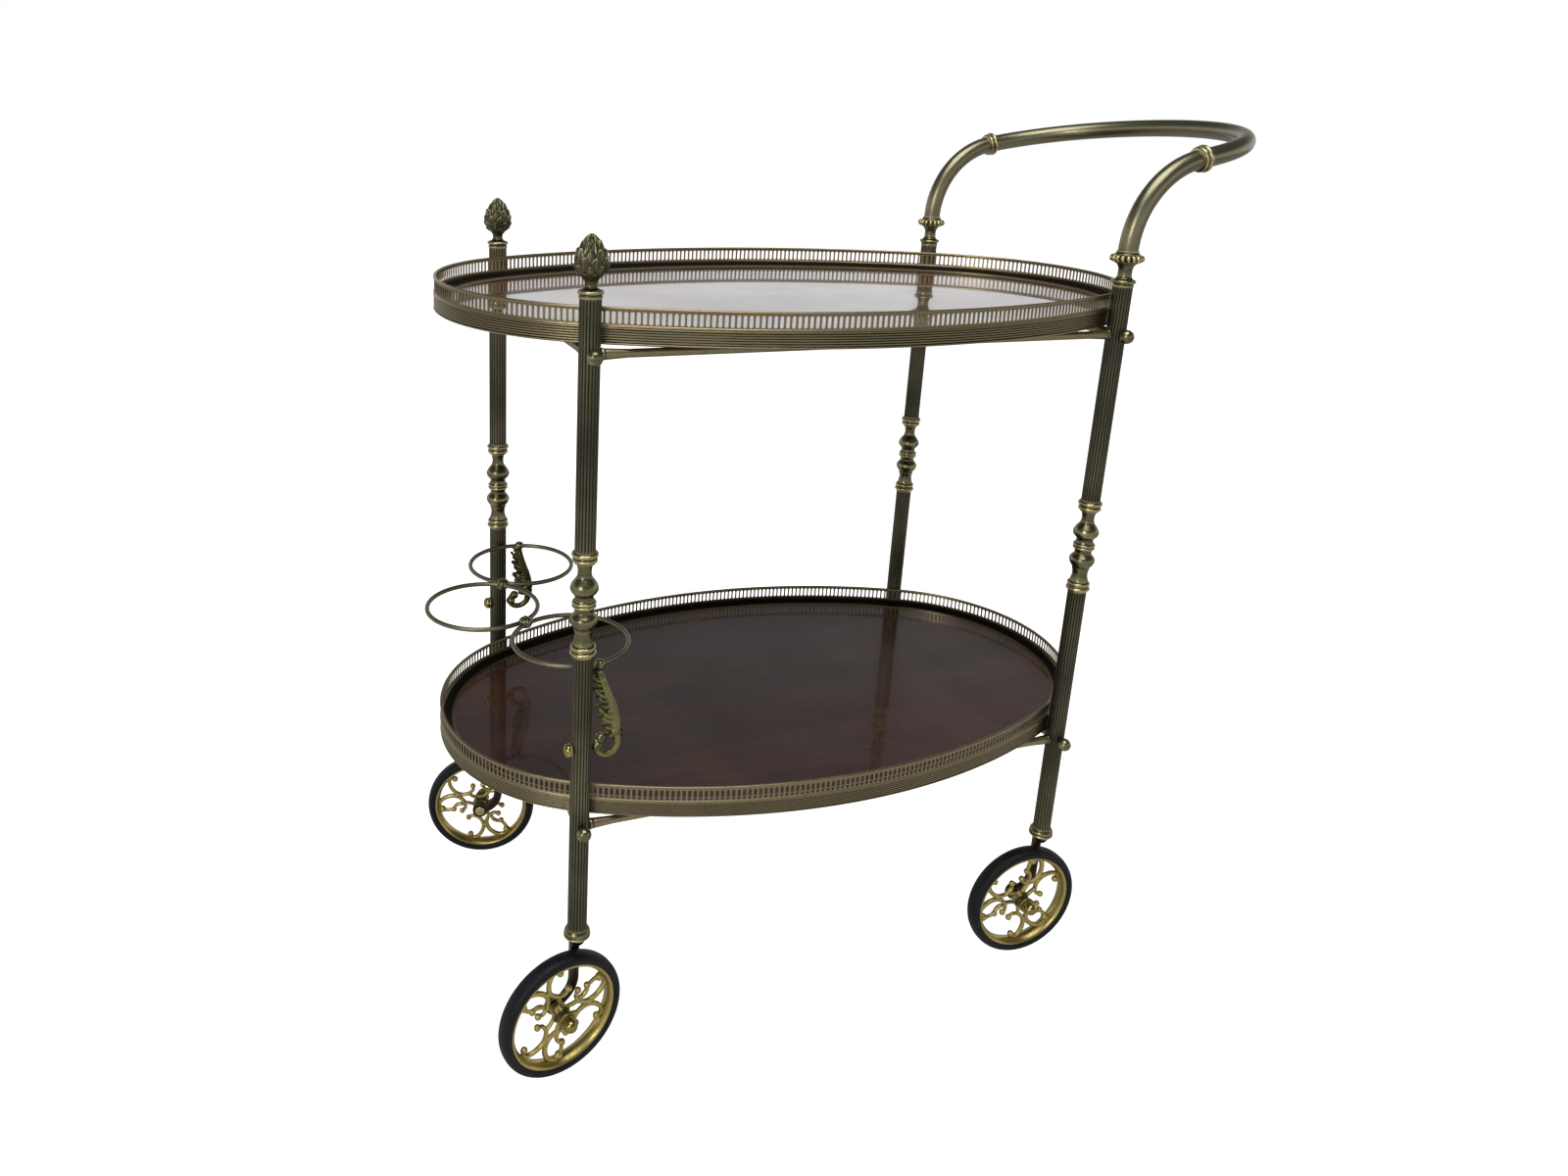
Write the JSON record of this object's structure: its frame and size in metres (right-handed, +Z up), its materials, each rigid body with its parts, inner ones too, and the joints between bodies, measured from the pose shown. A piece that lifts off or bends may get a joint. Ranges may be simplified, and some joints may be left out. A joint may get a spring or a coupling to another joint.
{
  "type": "drinks trolley",
  "caption": "Two-tier oval drinks trolley with galleried trays, turned and reeded legs, a bow handle, a ring bottle holder and swivel castors.",
  "frame": {"origin": "on the floor below the middle of the overall length and width", "axes": "+X towards the push handle, -Y the near side, +Z up"},
  "size_m": [0.8086, 0.41, 0.8436],
  "materials": {
    "turned_brass": "aged and lacquered, warm highlights on the beads",
    "reeded_brass": "fine vertical reeds, dark patina in the grooves",
    "tray_brass": "rolled strip with fine reeds and a pierced gallery",
    "wheel_brass": "cast and polished, dark in the hollows",
    "castor_iron": "dark bronze lacquer",
    "tyre_rubber": "matte black rubber",
    "mahogany_panel": "dark red-brown mahogany figure under high gloss lacquer"
  },
  "bodies": {
    "trolley_frame": {"upper_band": "tray_brass", "upper_gallery": "tray_brass", "upper_panel": "mahogany_panel", "lower_band": "tray_brass", "lower_gallery": "tray_brass", "lower_panel": "mahogany_panel", "upper_tube_nl": "reeded_brass", "upper_tube_nr": "reeded_brass", "upper_tube_fl": "reeded_brass", "upper_tube_fr": "reeded_brass", "baluster_nl": "turned_brass", "baluster_nr": "turned_brass", "baluster_fl": "turned_brass", "baluster_fr": "turned_brass", "lower_tube_nl": "reeded_brass", "lower_tube_nr": "reeded_brass", "lower_tube_fl": "reeded_brass", "lower_tube_fr": "reeded_brass", "foot_collar_nl": "turned_brass", "foot_collar_nr": "turned_brass", "foot_collar_fl": "turned_brass", "foot_collar_fr": "turned_brass", "finial_nl": "turned_brass", "finial_fl": "turned_brass", "handle_socket_nr": "turned_brass", "handle_socket_fr": "turned_brass", "swan_neck_nr": "turned_brass", "swan_neck_fr": "turned_brass", "ring_collar_nr": "turned_brass", "ring_collar_fr": "turned_brass", "handle_bow": "turned_brass", "upper_rods": "turned_brass", "lower_rods": "turned_brass", "upper_nuts": "turned_brass", "lower_nuts": "turned_brass", "upper_saddles": "turned_brass", "lower_saddles": "turned_brass", "bottle_ring_near": "turned_brass", "bottle_ring_middle": "turned_brass", "bottle_ring_far": "turned_brass", "ring_joints": "turned_brass", "scroll_bracket_near": "turned_brass", "scroll_bracket_far": "turned_brass", "bracket_bolts": "turned_brass"},
    "castor_nl": {"castor_arm_nl": "castor_iron", "axle_nl": "wheel_brass"},
    "roller_nl": {"wheel_nl": "wheel_brass", "tyre_nl": "tyre_rubber"},
    "castor_nr": {"castor_arm_nr": "castor_iron", "axle_nr": "wheel_brass"},
    "roller_nr": {"wheel_nr": "wheel_brass", "tyre_nr": "tyre_rubber"},
    "castor_fl": {"castor_arm_fl": "castor_iron", "axle_fl": "wheel_brass"},
    "roller_fl": {"wheel_fl": "wheel_brass", "tyre_fl": "tyre_rubber"},
    "castor_fr": {"castor_arm_fr": "castor_iron", "axle_fr": "wheel_brass"},
    "roller_fr": {"wheel_fr": "wheel_brass", "tyre_fr": "tyre_rubber"}
  },
  "joints": [
    {"name": "swivel_nl", "type": "hinge", "parent": "trolley_frame", "child": "castor_nl", "pos_m": [-0.30134, -0.1553, 0.12], "axis": [0, 0, 1], "continuous": true},
    {"name": "roll_nl", "type": "hinge", "parent": "castor_nl", "child": "roller_nl", "pos_m": [-0.31881, -0.16791, 0.06], "axis": [0.2419, -0.9703, 0], "continuous": true},
    {"name": "swivel_nr", "type": "hinge", "parent": "trolley_frame", "child": "castor_nr", "pos_m": [0.19866, -0.1553, 0.12], "axis": [0, 0, 1], "continuous": true},
    {"name": "roll_nr", "type": "hinge", "parent": "castor_nr", "child": "roller_nr", "pos_m": [0.17827, -0.16225, 0.06], "axis": [-0.0523, -0.9986, 0], "continuous": true},
    {"name": "swivel_fl", "type": "hinge", "parent": "trolley_frame", "child": "castor_fl", "pos_m": [-0.30134, 0.1553, 0.12], "axis": [0, 0, 1], "continuous": true},
    {"name": "roll_fl", "type": "hinge", "parent": "castor_fl", "child": "roller_fl", "pos_m": [-0.31813, 0.1688, 0.06], "axis": [0.2924, 0.9563, 0], "continuous": true},
    {"name": "swivel_fr", "type": "hinge", "parent": "trolley_frame", "child": "castor_fr", "pos_m": [0.19866, 0.1553, 0.12], "axis": [0, 0, 1], "continuous": true},
    {"name": "roll_fr", "type": "hinge", "parent": "castor_fr", "child": "roller_fr", "pos_m": [0.17774, 0.16044, 0.06], "axis": [-0.1392, 0.9903, 0], "continuous": true}
  ]
}
